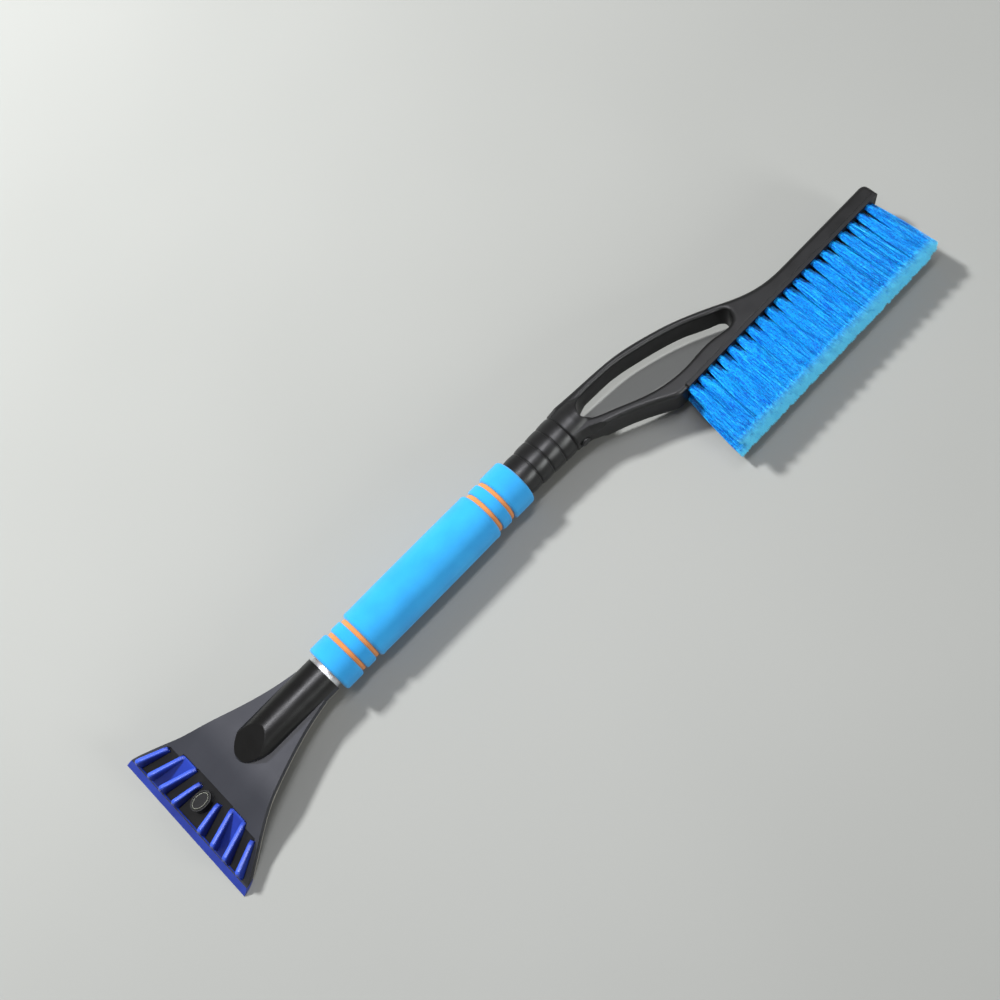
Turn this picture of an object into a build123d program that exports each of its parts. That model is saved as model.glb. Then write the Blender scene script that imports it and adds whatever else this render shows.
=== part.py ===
from build123d import *
import os
from math import atan2, degrees, hypot

# Windshield ice scraper with a snow brush. Everything is modelled in the tool's own frame:
# X runs along the handle from the blade edge to the brush's far end, the bristles point to -Y,
# +Z is up, and z = 0 is the handle axis. TO_ROW then stands the tool on the ground, under its
# middle. All sizes are in millimetres.

# Overall
OVERALL_LENGTH = 686.0
BLADE_WIDTH = 129.0
BRISTLE_REACH = 108.0
GRIP_RADIUS = 20.0
GROUND_Z = -GRIP_RADIUS
TO_ROW = Location((-OVERALL_LENGTH / 2, (BRISTLE_REACH - BLADE_WIDTH / 2) / 2, GRIP_RADIUS))

# Places along the handle
NOSE_TIP_X = 60.0
NOSE_RIDGE_X = 88.0
NOSE_TIP_Z = 3.5
NOSE_ROUND = 1.2
TUBE_START_X = 100.0
SOCKET_END_X = 142.0
GRIP_START_X = 145.6
GRIP_END_X = 336.0
PARTING_X = 384.8
TUBE_END_X = 398.0

# Handle tube, its insert and the ribbed collar
TUBE_RADIUS = 12.7
TUBE_WALL = 1.2
INSERT_END_X = 138.0
INSERT_BORE_RADIUS = 6.5
INSERT_FLOOR = 4.0
COLLAR_SURFACE = 15.1
COLLAR_GROOVES_X = (348.6, 360.6, 372.6)
GROOVE_HALF = 0.9
GROOVE_DEPTH = 0.8
RIB_CROWN = 0.35

# Foam: where each outer piece starts and ends, its radius and its rounding
CORE_RADIUS = 16.9
FOAM_PIECES = {"grip_collar_front": (GRIP_START_X, 162.3, 19.4, 2.2),
               "grip_ring_front": (165.7, 175.2, 18.8, 1.7),
               "grip_main": (178.6, 300.8, GRIP_RADIUS, 2.6),
               "grip_ring_rear": (304.2, 313.2, 18.8, 1.7),
               "grip_collar_rear": (316.4, GRIP_END_X, 19.4, 2.2)}

# Screws
SCREW_HEAD_RADIUS = 3.4
SCREW_HEAD_THICK = 1.9
SCREW_SINK = 0.6
SCREW_SHANK_RADIUS = 1.5
NECK_SCREW_X = 121.0
COLLAR_SCREW_X = 341.0

# Scraper head: a shell whose plate is bent down towards the blade
PLATE_TOP_Z = 3.2
PLATE_DEPTH = 7.0
PLATE_SLOPE = 0.335
BEND_X = 60.0
BEND_RADIUS = 60.0
SKIN = 2.6
SOCKET_RADIUS = 14.9
LIP_X = 5.2
LIP_BACK_X = 12.0
HEAD_CLEAR = 0.3
CAVITY_END_X = 120.0
SPAN = 80.0
FAN_END_X = 129.0
FAN_STATIONS = [(0, BLADE_WIDTH / 2), (7, 62.6), (16, 58.2), (28, 51.6), (40, 44.8), (68, 32.8),
                (100, 21.6), (FAN_END_X, 15.0)]
SLOPE_LENGTHENS = hypot(1.0, PLATE_SLOPE)
SKIN_DROP = SKIN * SLOPE_LENGTHENS

# Blade fins: distance from the centre line at the front and at the back, and where they end
BLADE_END_X = 41.0
FIN_FRONT_X = 7.0
FIN_WIDTH = 3.2
FIN_RIDGE_Z = -2.5
FINS = [(14.4, 10.0, 30.0), (28.7, 19.9, 34.5), (41.4, 32.3, 34.5), (55.4, 45.6, 30.0)]
ROOT_DROP = SKIN_DROP + 1.0
WINDOW_GAP = 0.4
RECESS_DEPTH = 1.5
BROW_X = 36.0
PLUG_X = 23.0
PLUG_TOP_Z = -2.0
PLUG_RADII = (7.2, 4.7)
PLUG_CLEAR = 0.1
PLUG_END_Z = GROUND_Z + 0.8
BOSS_WALL = 1.1
CLIP_THICK = 1.2
CLIP_WAIST = 1.4

# Brush frame
FRAME_HALF_DEPTH = 12.4
NECK_RADIUS = 16.4
BAR_BACK_Y = -34.0
BAR_FRONT_Y = -45.0
BLOCK_FACE_Y = -48.0
CHANNEL_FLOOR_Y = -38.0
CHANNEL_HALF = 10.9
BLOCK_LIP_HALF = 12.1
CHANNEL_START_X = 469.2
CHANNEL_END_X = 683.4
BACK_ROUND = 4.0
LOOP_ROUND = 2.6
FRONT_ROUND = 2.8
SPIGOT_RADIUS = 11.42
SPIGOT_START_X = 346.0
HOLLOW_RADIUS = 8.4
HOLLOW_END_X = 398.6
POCKET_RADIUS = 12.78
ARM_BACK = [(386, 15.8), (397, 15.1), (427.7, 13.2), (453.2, 11.0), (475, 6.2), (496, -0.3),
            (515.5, -8.3), (533.7, -17.4), (550, -25.8), (568.2, -31.9), (592, BAR_BACK_Y)]
ARM_FRONT = [(465.5, BLOCK_FACE_Y), (456, -45.0), (447.5, -39.9), (429.8, -30.6), (410.7, -22.8),
             (396, -17.6), (386, -16.0)]
LOOP_HOLE = [(400.6, -2.5), (406.5, 4.4), (425.5, 7.0), (445.5, 6.0), (467.8, 1.5), (489.5, -4.5),
             (509.7, -12.1), (527, -20.8), (536.5, -28.0), (534.0, -34.2), (512, -35.3), (483, -35.4),
             (458, -32.7), (438, -26.0), (420, -17.8), (406, -11.0)]

# Release button
BUTTON_X = 392.6
BUTTON_RADIUS = 4.3
BUTTON_HOLE_RADIUS = 4.4
BUTTON_SLOT_HALF = 4.6
BUTTON_FACE_Y = -18.2
BUTTON_FLANGE_Y = -6.2
BUTTON_FLANGE_RADIUS = 5.2
BUTTON_FLANGE_THICK = 1.4
SPRING_BEND_X = 353.0
SPRING_TIP_X = 397.5
SPRING_BEND_RADIUS = 2.6
SPRING_THICK = 0.6
SPRING_HALF_WIDTH = 2.8

# Tufts
TUFTS_PER_ROW = 20
FIRST_TUFT_X = 475.2
LAST_TUFT_X = 675.4
TUFT_PITCH = (LAST_TUFT_X - FIRST_TUFT_X) / (TUFTS_PER_ROW - 1)
BLOCK_SCREW_XS = [FIRST_TUFT_X + TUFT_PITCH * (gap + 0.75) for gap in (1, 7, 12, 17)]
ROW_OFFSETS = {"bristle_row_lower": -8.1, "bristle_row_inner_lower": -2.7,
               "bristle_row_inner_upper": 2.7, "bristle_row_upper": 8.1}
TUFT_HOLE_RADIUS = 2.4
TUFT_ROOT_RADIUS = 2.3
TUFT_HOLE_DEPTH = 7.0
ANCHOR_DEPTH = 1.4
TIPS_MIDDLE_X = 572.0
TIP_SPREAD_X = 1.036
TIP_SPREAD_Z = 1.12
TUFT_TIP_HALF_X = 5.2
TUFT_TIP_HALF_Z = 2.95
ANCHOR_HALF_WIDTH = 2.2
ANCHOR_HALF_THICK = 0.25
BLOCK_GAP = 0.1


def x_cylinder(radius, start, end):
    """Cylinder on the handle axis from x = start to x = end."""
    along_x = Rot(0, 90, 0) * Cylinder(radius, end - start, align=(Align.CENTER, Align.CENTER, Align.MIN))
    return Pos(start, 0, 0) * along_x


def x_tube(outer, inner, start, end):
    return x_cylinder(outer, start, end) - x_cylinder(inner, start - 1, end + 1)


def y_cylinder(radius, start, end):
    """Cylinder along Y through the handle axis from y = start to y = end."""
    along_y = Rot(-90, 0, 0) * Cylinder(radius, end - start, align=(Align.CENTER, Align.CENTER, Align.MIN))
    return Pos(0, start, 0) * along_y


def turned(points):
    """Solid of revolution about the handle axis, from (x, radius) points."""
    return revolve(make_face(Polyline(*points, close=True)), Axis.X)


def block(x_range, y_range, z_range):
    size = [high - low for low, high in (x_range, y_range, z_range)]
    centre = [(high + low) / 2 for low, high in (x_range, y_range, z_range)]
    return Pos(*centre) * Box(*size)


def plan_solid(face, z_range):
    """A plan-view face carried straight up through a range of heights."""
    return extrude(Pos(0, 0, z_range[0]) * face, amount=z_range[1] - z_range[0])


def side_solid(points, half_span, bend_radius=0.0):
    """Solid centred on y = 0 from a side-view outline of (x, z) points, with its bend rounded."""
    face = make_face(Polyline(*points, close=True))
    if bend_radius:
        bends = [vertex for vertex in face.vertices() if abs(vertex.X - BEND_X) < 0.5]
        face = fillet(bends, bend_radius)
    return extrude(Plane.XZ * face, amount=half_span, both=True)


# ---------------------------------------------------------------- scraper end

def plate_top(x):
    """Height of the plate's upper surface at x."""
    return PLATE_TOP_Z - PLATE_SLOPE * max(0.0, BEND_X - x)


def fan_face(inset=0.0, end_x=FAN_END_X):
    """Plan outline of the scraper's fan, pulled in by inset at its sides."""
    stations = [(x, y - inset) for x, y in FAN_STATIONS]
    left_side = Spline(*stations)
    right_side = Spline(*[(x, -y) for x, y in stations])
    front = Line(stations[0], (stations[0][0], -stations[0][1]))
    back = Line(stations[-1], (stations[-1][0], -stations[-1][1]))
    fan = make_face([left_side, back, right_side, front])
    keep = Pos(end_x / 2, 0) * Rectangle(end_x, 2 * SPAN)
    return fan & keep


def both_sides(make, *arguments):
    """The piece that make gives, and its mirror image across the centre line."""
    piece = make(*arguments)
    return piece + mirror(piece, Plane.XZ)


def fin(front_y, back_y, back_x, grow=0.0):
    """One ice-breaking fin: level along its ridge, tallest at the front."""
    length = hypot(back_x - FIN_FRONT_X, back_y - front_y)
    turn = degrees(atan2(back_y - front_y, back_x - FIN_FRONT_X))
    profile = [(-grow, plate_top(FIN_FRONT_X) - ROOT_DROP),
               (-grow, FIN_RIDGE_Z - 3.0),
               (1.2, FIN_RIDGE_Z - 0.8),
               (3.2, FIN_RIDGE_Z),
               (length - 3.0, FIN_RIDGE_Z - 0.9),
               (length + grow, FIN_RIDGE_Z - 2.2),
               (length + grow, plate_top(back_x) - ROOT_DROP)]
    slab = side_solid(profile, FIN_WIDTH / 2 + grow)
    if not grow:
        ridge = slab.edges().filter_by(lambda edge: edge.center().Z > FIN_RIDGE_Z - 2.0)
        slab = fillet(ridge.filter_by(lambda edge: abs(edge.center().Y) > 0.1), 1.1)
    return Pos(FIN_FRONT_X, front_y, 0) * Rot(0, 0, turn) * slab


def web(grow=0.0):
    """The blue tongue that fills the space between the second and third fins."""
    inner, outer = FINS[1], FINS[2]
    front_x = FIN_FRONT_X - 1.0
    back_x = inner[2] + 0.6 + grow
    outline = [(front_x, inner[0] - grow), (front_x, outer[0] + grow),
               (back_x, outer[1] + grow), (back_x, inner[1] - grow)]
    plan = plan_solid(make_face(Polyline(*outline, close=True)), (GROUND_Z, 5.0))
    profile = [(front_x, plate_top(front_x) - ROOT_DROP), (front_x, plate_top(front_x) + 0.2),
               (back_x, plate_top(back_x) + 0.9), (back_x, plate_top(back_x) - ROOT_DROP)]
    return plan & side_solid(profile, SPAN)


def plug_prism(grow, low, high):
    """Upright oval prism on the plug's axis."""
    oval = Pos(PLUG_X, 0) * Ellipse(PLUG_RADII[0] + grow, PLUG_RADII[1] + grow)
    return plan_solid(oval, (low, high))


def make_scraper_blade():
    start_z = plate_top(LIP_X - 2.2) - SKIN_DROP
    end_z = plate_top(BLADE_END_X) - SKIN_DROP
    plate_profile = [(LIP_X - 2.2, start_z), (BLADE_END_X, end_z),
                     (BLADE_END_X, end_z - SKIN_DROP), (LIP_X - 2.2, start_z - SKIN_DROP)]
    plate = side_solid(plate_profile, SPAN)
    plate &= plan_solid(fan_face(SKIN + 0.1, BLADE_END_X), (GROUND_Z, 5.0))
    lip_profile = [(0, GROUND_Z), (0, GROUND_Z + 0.5), (LIP_X, plate_top(LIP_X)),
                   (LIP_BACK_X, GROUND_Z + HEAD_CLEAR), (LIP_BACK_X, GROUND_Z)]
    lip = side_solid(lip_profile, SPAN) & plan_solid(fan_face(), (GROUND_Z, 5.0))
    blade = plate + lip + both_sides(web)
    for fin_sizes in FINS:
        blade += both_sides(fin, *fin_sizes)
    return blade - plug_prism(PLUG_CLEAR, GROUND_Z - 1, 5.0)


def make_recess():
    """Lowered floors between the fins, in front of the plate's brow."""
    front_x = LIP_X - 0.6
    middle = [(front_x, 29.5), (BROW_X, 19.0), (BROW_X, -19.0), (front_x, -29.5)]
    side = [(front_x, 57.5), (front_x, 42.0), (32.0, 32.0), (32.0, 45.8)]
    mirrored = [(x, -y) for x, y in side]
    floor_shift = RECESS_DEPTH * SLOPE_LENGTHENS
    floor_start, floor_end = LIP_X + 0.8, 50.0
    above_floor = side_solid([(floor_start, plate_top(floor_start) - floor_shift),
                              (floor_end, plate_top(floor_end) - floor_shift), (floor_end, 20.0),
                              (floor_start, 20.0)], SPAN)
    zones = Part()
    for outline in (middle, side, mirrored):
        face = make_face(Polyline(*outline, close=True))
        zones += plan_solid(face, (GROUND_Z, 10.0))
    return zones & above_floor


def make_socket():
    """Round socket for the handle tube, with a long nose that slopes onto the plate."""
    round_body = x_cylinder(SOCKET_RADIUS, NOSE_TIP_X - 2, SOCKET_END_X)
    tongue = Pos(NOSE_RIDGE_X, 0) * Ellipse(NOSE_RIDGE_X - NOSE_TIP_X, SOCKET_RADIUS + 0.1)
    tongue += Pos((NOSE_RIDGE_X + SOCKET_END_X) / 2, 0) * Rectangle(SOCKET_END_X - NOSE_RIDGE_X, 40)
    over_z = SOCKET_RADIUS + 1
    over_x = NOSE_TIP_X + (over_z - NOSE_TIP_Z) * (NOSE_RIDGE_X - NOSE_TIP_X) / (SOCKET_RADIUS - NOSE_TIP_Z)
    slope = [(SOCKET_END_X, over_z), (over_x, over_z), (NOSE_TIP_X, NOSE_TIP_Z),
             (NOSE_TIP_X, -NOSE_TIP_Z), (over_x, -over_z), (SOCKET_END_X, -over_z)]
    nose = round_body & plan_solid(tongue, (-20, 20)) & side_solid(slope, 20)
    sloping_face = nose.faces().filter_by(GeomType.PLANE).sort_by(Axis.Z)[-1]
    return fillet(sloping_face.edges(), NOSE_ROUND)


def make_shell():
    """The open-bottomed shell: fan plate, side walls and the wall in front of the socket."""
    side_foot_z = PLATE_TOP_Z - PLATE_DEPTH
    foot_z = GROUND_Z + HEAD_CLEAR
    foot_x = BEND_X - (side_foot_z - foot_z) / PLATE_SLOPE
    outer_profile = [(FAN_END_X, PLATE_TOP_Z), (BEND_X, PLATE_TOP_Z), (LIP_X, plate_top(LIP_X)),
                     (LIP_BACK_X, foot_z), (foot_x, foot_z), (BEND_X, side_foot_z), (FAN_END_X, side_foot_z)]
    outer = side_solid(outer_profile, SPAN, BEND_RADIUS) & plan_solid(fan_face(), (GROUND_Z, 10))
    cavity_profile = [(CAVITY_END_X, PLATE_TOP_Z - SKIN), (BEND_X, PLATE_TOP_Z - SKIN),
                      (1.0, plate_top(1.0) - SKIN_DROP), (1.0, -40), (CAVITY_END_X, -40)]
    cavity = side_solid(cavity_profile, SPAN, BEND_RADIUS)
    cavity &= plan_solid(fan_face(SKIN, CAVITY_END_X), (-50, 10))
    return outer - cavity + (make_stiffeners() & cavity)


def make_stiffeners():
    """Three ribs under the plate that fan out from the socket."""
    ribs = Part()
    for turn in (-14, 0, 14):
        rib_plan = Rot(0, 0, turn) * Pos(-45, 0) * Rectangle(70, 1.8)
        ribs += plan_solid(Pos(105, 0) * rib_plan, (-12.0, PLATE_TOP_Z - 0.5))
    start_x, end_x, foot_z = 46.0, 110.0, -3.5
    profile = [(start_x, plate_top(start_x)), (BEND_X, PLATE_TOP_Z), (end_x, PLATE_TOP_Z),
               (end_x, foot_z), (BEND_X, foot_z), (start_x, plate_top(start_x) - 7.5)]
    return ribs & side_solid(profile, SPAN)


def make_scraper_head():
    boss = plug_prism(PLUG_CLEAR + BOSS_WALL, GROUND_Z, PLUG_TOP_Z - 0.3)
    above_blade = side_solid([(0, plate_top(0) - SKIN_DROP), (50, plate_top(50) - SKIN_DROP),
                              (50, 10), (0, 10)], 20)
    head = make_shell() + make_socket() + (boss & above_blade)
    head -= make_recess() - plug_prism(PLUG_CLEAR + BOSS_WALL + 0.01, GROUND_Z, 20)
    for fin_sizes in FINS:
        head -= both_sides(fin, *fin_sizes, WINDOW_GAP)
    head -= both_sides(web, WINDOW_GAP)
    head -= plug_prism(PLUG_CLEAR, GROUND_Z - 1, 20)
    head -= x_cylinder(TUBE_RADIUS, TUBE_START_X, SOCKET_END_X + 1)
    return head - under_hole(NECK_SCREW_X, SOCKET_RADIUS)


def clip_layer():
    """The layer that the clip fills, flat against the blade plate's sloping underside."""
    drop = 2 * SKIN_DROP + 0.05
    near, far = PLUG_X - 20, PLUG_X + 20
    near_z = plate_top(near) - drop
    far_z = plate_top(far) - drop
    outline = [(near, near_z), (far, far_z), (far, far_z - CLIP_THICK), (near, near_z - CLIP_THICK)]
    return side_solid(outline, 20)


def make_blade_plug():
    """Oval push plug: a domed face, a shank through head and blade, and a waist for its clip."""
    shank = plug_prism(0.0, PLUG_END_Z, PLUG_TOP_Z)
    shank = chamfer(shank.edges().group_by(Axis.Z)[-1], 0.7)
    waist = (plug_prism(0.1, GROUND_Z, 0) - plug_prism(-CLIP_WAIST, GROUND_Z - 1, 1)) & clip_layer()
    return shank - waist


def make_blade_plug_clip():
    """Push-on washer under the blade, round the plug's waist."""
    return (plug_prism(2.0, GROUND_Z, 0) - plug_prism(0.05 - CLIP_WAIST, GROUND_Z - 1, 1)) & clip_layer()


# ---------------------------------------------------------------- screws

def pan_head_screw(surface, length):
    """Screw along +Z whose head stands sunk below a surface at z = surface, pointing inwards."""
    head_base = surface - SCREW_HEAD_THICK - SCREW_SINK
    head = Pos(0, 0, head_base) * Cylinder(SCREW_HEAD_RADIUS, SCREW_HEAD_THICK,
                                           align=(Align.CENTER, Align.CENTER, Align.MIN))
    head = fillet(head.edges().group_by(Axis.Z)[-1], 0.7)
    shank = Pos(0, 0, head_base - length) * Cylinder(SCREW_SHANK_RADIUS, length,
                                                     align=(Align.CENTER, Align.CENTER, Align.MIN))
    slot_top = head_base + SCREW_HEAD_THICK
    cross = Pos(0, 0, slot_top) * (Box(4.0, 0.9, 1.6) + Box(0.9, 4.0, 1.6))
    return head + shank - cross


def screw_hole(surface):
    """Counterbored hole for a pan head screw, open at z = surface."""
    head_base = surface - SCREW_HEAD_THICK - SCREW_SINK
    bore = Pos(0, 0, head_base) * Cylinder(SCREW_HEAD_RADIUS + 0.1, 10,
                                           align=(Align.CENTER, Align.CENTER, Align.MIN))
    return bore + Pos(0, 0, head_base - 20) * Cylinder(SCREW_SHANK_RADIUS, 20.5,
                                                       align=(Align.CENTER, Align.CENTER, Align.MIN))


def under_screw(x, surface, length):
    """A pan head screw that points up into the handle from below."""
    return Pos(x, 0, 0) * Rot(180, 0, 0) * pan_head_screw(surface, length)


def under_hole(x, surface):
    return Pos(x, 0, 0) * Rot(180, 0, 0) * screw_hole(surface)


# ---------------------------------------------------------------- handle

def make_handle_tube():
    tube = x_tube(TUBE_RADIUS, TUBE_RADIUS - TUBE_WALL, TUBE_START_X, TUBE_END_X)
    tube -= under_hole(NECK_SCREW_X, SOCKET_RADIUS)
    tube -= under_hole(COLLAR_SCREW_X, COLLAR_SURFACE)
    # Slot that the button's shank slides out of when the brush is pulled off.
    return tube - block((BUTTON_X - BUTTON_SLOT_HALF, TUBE_END_X + 1), (-20, 0),
                        (-BUTTON_SLOT_HALF, BUTTON_SLOT_HALF))


def make_tube_insert():
    insert = x_cylinder(TUBE_RADIUS - TUBE_WALL, TUBE_START_X, INSERT_END_X)
    insert -= x_cylinder(INSERT_BORE_RADIUS, TUBE_START_X + INSERT_FLOOR, INSERT_END_X + 1)
    return insert - under_hole(NECK_SCREW_X, SOCKET_RADIUS)


def foam_piece(start, end, radius, rounding):
    """Blue outer foam, from x = start to x = end, with rounded shoulders."""
    ring = x_tube(radius, CORE_RADIUS, start, end)
    circles = ring.edges().filter_by(GeomType.CIRCLE)
    return fillet(circles.filter_by(lambda edge: edge.radius > radius - 0.1), rounding)


def make_grip_core():
    return x_tube(CORE_RADIUS, TUBE_RADIUS, GRIP_START_X, GRIP_END_X)


def collar_radius(x):
    """Radius of the collar's ribs, which widen towards the brush."""
    return COLLAR_SURFACE + 0.029 * (x - GRIP_END_X - 1)


def rib_arc(start, end):
    """A rib's outline: a slight crown between two places."""
    crown = ((start[0] + end[0]) / 2, (start[1] + end[1]) / 2 + RIB_CROWN)
    return ThreePointArc(start, crown, end)


def make_neck_collar():
    """Ribbed collar at the brush end of the handle: crowned ribs between round-bottomed grooves."""
    end_x = PARTING_X - 0.2
    last = (GRIP_END_X, collar_radius(GRIP_END_X))
    outline = [Line((GRIP_END_X, TUBE_RADIUS), last)]
    for groove_x in COLLAR_GROOVES_X:
        start = (groove_x - GROOVE_HALF, collar_radius(groove_x - GROOVE_HALF))
        end = (groove_x + GROOVE_HALF, collar_radius(groove_x + GROOVE_HALF))
        floor = (groove_x, collar_radius(groove_x) - GROOVE_DEPTH)
        outline += [rib_arc(last, start), ThreePointArc(start, floor, end)]
        last = end
    rim = (end_x - 0.8, collar_radius(end_x))
    outline += [rib_arc(last, rim), Line(rim, (end_x, 15.9)), Line((end_x, 15.9), (end_x, TUBE_RADIUS)),
                Line((end_x, TUBE_RADIUS), (GRIP_END_X, TUBE_RADIUS))]
    body = revolve(make_face(outline), Axis.X)
    return body - under_hole(COLLAR_SCREW_X, COLLAR_SURFACE)


# ---------------------------------------------------------------- brush

def frame_outline():
    """Outer plan outline of the brush frame: neck, both arms and the straight bar."""
    end_x = OVERALL_LENGTH
    corner = 5.0
    back_arm = Spline(*ARM_BACK, tangents=((1, -0.03), (1, 0)))
    back_edge = Line(ARM_BACK[-1], (end_x - corner, BAR_BACK_Y))
    back_corner = RadiusArc((end_x - corner, BAR_BACK_Y), (end_x, BAR_BACK_Y - corner), corner)
    end_edge = Polyline((end_x, BAR_BACK_Y - corner), (end_x, BAR_FRONT_Y), (CHANNEL_START_X, BAR_FRONT_Y),
                        (CHANNEL_START_X, ARM_FRONT[0][1]), ARM_FRONT[0])
    front_arm = Spline(*ARM_FRONT, tangents=((-1, 0), (-1, 0.1)))
    neck_edge = Line(ARM_FRONT[-1], ARM_BACK[0])
    return make_face([back_arm, back_edge, back_corner, *end_edge.edges(), front_arm, neck_edge])


def loop_face():
    return make_face(Spline(*LOOP_HOLE, periodic=True))


def is_back_rim(edge):
    """The rim from the neck along the back arm, and round the bar's far corner."""
    place = edge.center()
    return place.X > 390 and place.Y > -36 and (place.Y > 0 or place.X > 600)


def is_loop_rim(edge):
    return 500 < edge.center().X < 560 and edge.length > 250


def is_front_rim(edge):
    place = edge.center()
    return place.X < 450 and place.Y < -20 and 60 < edge.length < 120


def round_rim(arms, chosen, radius):
    """Round the chosen edges of the frame's upper and lower faces."""
    levels = arms.edges().group_by(Axis.Z)
    rims = levels[-1] + levels[0]
    return fillet(rims.filter_by(chosen), radius)


def neck_flare():
    """Space for the arms: round like the collar at the parting, and wide open past the neck."""
    return turned([(PARTING_X, 0), (PARTING_X, 16.4), (PARTING_X + 1.5, 16.9), (392, 17.5), (399, 19.0),
                   (407, 22.5), (416, 29.0), (426, 40.0), (440, 70.0), (OVERALL_LENGTH + 1, 70.0),
                   (OVERALL_LENGTH + 1, 0)])


def make_brush_frame():
    deep = (-FRAME_HALF_DEPTH, FRAME_HALF_DEPTH)
    arms = plan_solid(frame_outline(), deep) - plan_solid(loop_face(), (-20, 20))
    arms = round_rim(arms, is_back_rim, BACK_ROUND)
    arms = round_rim(arms, is_loop_rim, LOOP_ROUND)
    arms = round_rim(arms, is_front_rim, FRONT_ROUND)
    arms &= neck_flare()
    neck = turned([(PARTING_X, 0), (PARTING_X, 15.9), (PARTING_X + 1.2, NECK_RADIUS), (394, 16.8),
                   (402, 16.3), (410, 14.4), (418, 11.3), (424, 7.0), (424, 0)])
    neck -= plan_solid(loop_face(), (-20, 20))
    neck &= plan_solid(frame_outline(), (-20, 20)) + x_cylinder(20, PARTING_X - 1, 388)
    frame = arms + neck + x_cylinder(SPIGOT_RADIUS, SPIGOT_START_X, PARTING_X + 1)
    frame -= x_cylinder(HOLLOW_RADIUS, SPIGOT_START_X - 1, HOLLOW_END_X)
    frame -= x_tube(POCKET_RADIUS, SPIGOT_RADIUS, PARTING_X - 0.01, TUBE_END_X + 0.5)
    frame -= Pos(BUTTON_X, 0, 0) * y_cylinder(BUTTON_HOLE_RADIUS, -25, -2)
    frame -= block((CHANNEL_START_X, CHANNEL_END_X), (BAR_FRONT_Y - 1, CHANNEL_FLOOR_Y),
                   (-CHANNEL_HALF, CHANNEL_HALF))
    for screw_x in BLOCK_SCREW_XS:
        frame -= back_hole(screw_x)
    return frame


def back_screw(x, length=8.0):
    """A screw through the bar's back into the bristle block."""
    return Pos(x, 0, 0) * Rot(-90, 0, 0) * pan_head_screw(BAR_BACK_Y, length)


def back_hole(x):
    return Pos(x, 0, 0) * Rot(-90, 0, 0) * screw_hole(BAR_BACK_Y)


def make_release_button():
    """Button in the brush neck: domed face, shank and a flange that keeps it in."""
    shank = Pos(BUTTON_X, 0, 0) * y_cylinder(BUTTON_RADIUS, BUTTON_FACE_Y, BUTTON_FLANGE_Y)
    shank = fillet(shank.edges().group_by(Axis.Y)[0], 1.0)
    flange_end = BUTTON_FLANGE_Y + BUTTON_FLANGE_THICK
    return shank + Pos(BUTTON_X, 0, 0) * y_cylinder(BUTTON_FLANGE_RADIUS, BUTTON_FLANGE_Y, flange_end)


def make_button_spring():
    """Folded leaf spring that lies in the spigot and pushes the button out."""
    near_y = BUTTON_FLANGE_Y + BUTTON_FLANGE_THICK + 0.4
    far_y = 6.6
    near_leg = Line((SPRING_TIP_X, near_y), (SPRING_BEND_X, -SPRING_BEND_RADIUS))
    bend = ThreePointArc((SPRING_BEND_X, -SPRING_BEND_RADIUS), (SPRING_BEND_X - SPRING_BEND_RADIUS - 0.1, 0),
                         (SPRING_BEND_X, SPRING_BEND_RADIUS))
    far_leg = Line((SPRING_BEND_X, SPRING_BEND_RADIUS), (SPRING_TIP_X, far_y))
    strip = Wire([near_leg, bend, far_leg])
    face = make_face(offset(strip, SPRING_THICK / 2, side=Side.BOTH).edges())
    return extrude(face, amount=SPRING_HALF_WIDTH, both=True)


def tuft_places(offset_z):
    """Root positions along one row; neighbouring rows are set half a pitch apart."""
    inner_row = abs(offset_z) < 5
    shift = TUFT_PITCH / 4 if inner_row else -TUFT_PITCH / 4
    return [(FIRST_TUFT_X + shift + TUFT_PITCH * index, offset_z) for index in range(TUFTS_PER_ROW)]


def all_tuft_places():
    return [place for offset_z in ROW_OFFSETS.values() for place in tuft_places(offset_z)]


def make_bristle_block():
    half_width = CHANNEL_HALF - BLOCK_GAP
    tongue = block((CHANNEL_START_X + 0.2, CHANNEL_END_X - 0.2), (BAR_FRONT_Y, CHANNEL_FLOOR_Y - BLOCK_GAP),
                   (-half_width, half_width))
    lip = block((CHANNEL_START_X + 0.2, OVERALL_LENGTH - 0.6), (BLOCK_FACE_Y, BAR_FRONT_Y),
                (-BLOCK_LIP_HALF, BLOCK_LIP_HALF))
    lip = fillet(lip.edges().filter_by(Axis.Y), 2.5)
    body = tongue + lip
    for x, z in all_tuft_places():
        body -= Pos(x, 0, z) * y_cylinder(TUFT_HOLE_RADIUS, BLOCK_FACE_Y - 1, BLOCK_FACE_Y + TUFT_HOLE_DEPTH)
    for screw_x in BLOCK_SCREW_XS:
        body -= back_hole(screw_x)
    return body


def make_tuft(x, z):
    """One tuft: a round root in its hole, then a brush of filaments that spreads to an oval tip."""
    middle_x = (FIRST_TUFT_X + LAST_TUFT_X) / 2
    tip_x = TIPS_MIDDLE_X + (x - middle_x) * TIP_SPREAD_X
    root_top = BLOCK_FACE_Y + TUFT_HOLE_DEPTH - ANCHOR_DEPTH
    root = Pos(x, 0, z) * y_cylinder(TUFT_ROOT_RADIUS, BLOCK_FACE_Y, root_top)
    mouth = Plane(origin=(x, BLOCK_FACE_Y, z), x_dir=(1, 0, 0), z_dir=(0, -1, 0)) * Circle(TUFT_ROOT_RADIUS)
    tip_plane = Plane(origin=(tip_x, -BRISTLE_REACH, z * TIP_SPREAD_Z), x_dir=(1, 0, 0), z_dir=(0, -1, 0))
    spread = loft([mouth, tip_plane * Ellipse(TUFT_TIP_HALF_X, TUFT_TIP_HALF_Z)])
    return root + spread


def make_bristle_row(offset_z):
    return Compound(children=[make_tuft(x, z) for x, z in tuft_places(offset_z)])


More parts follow.
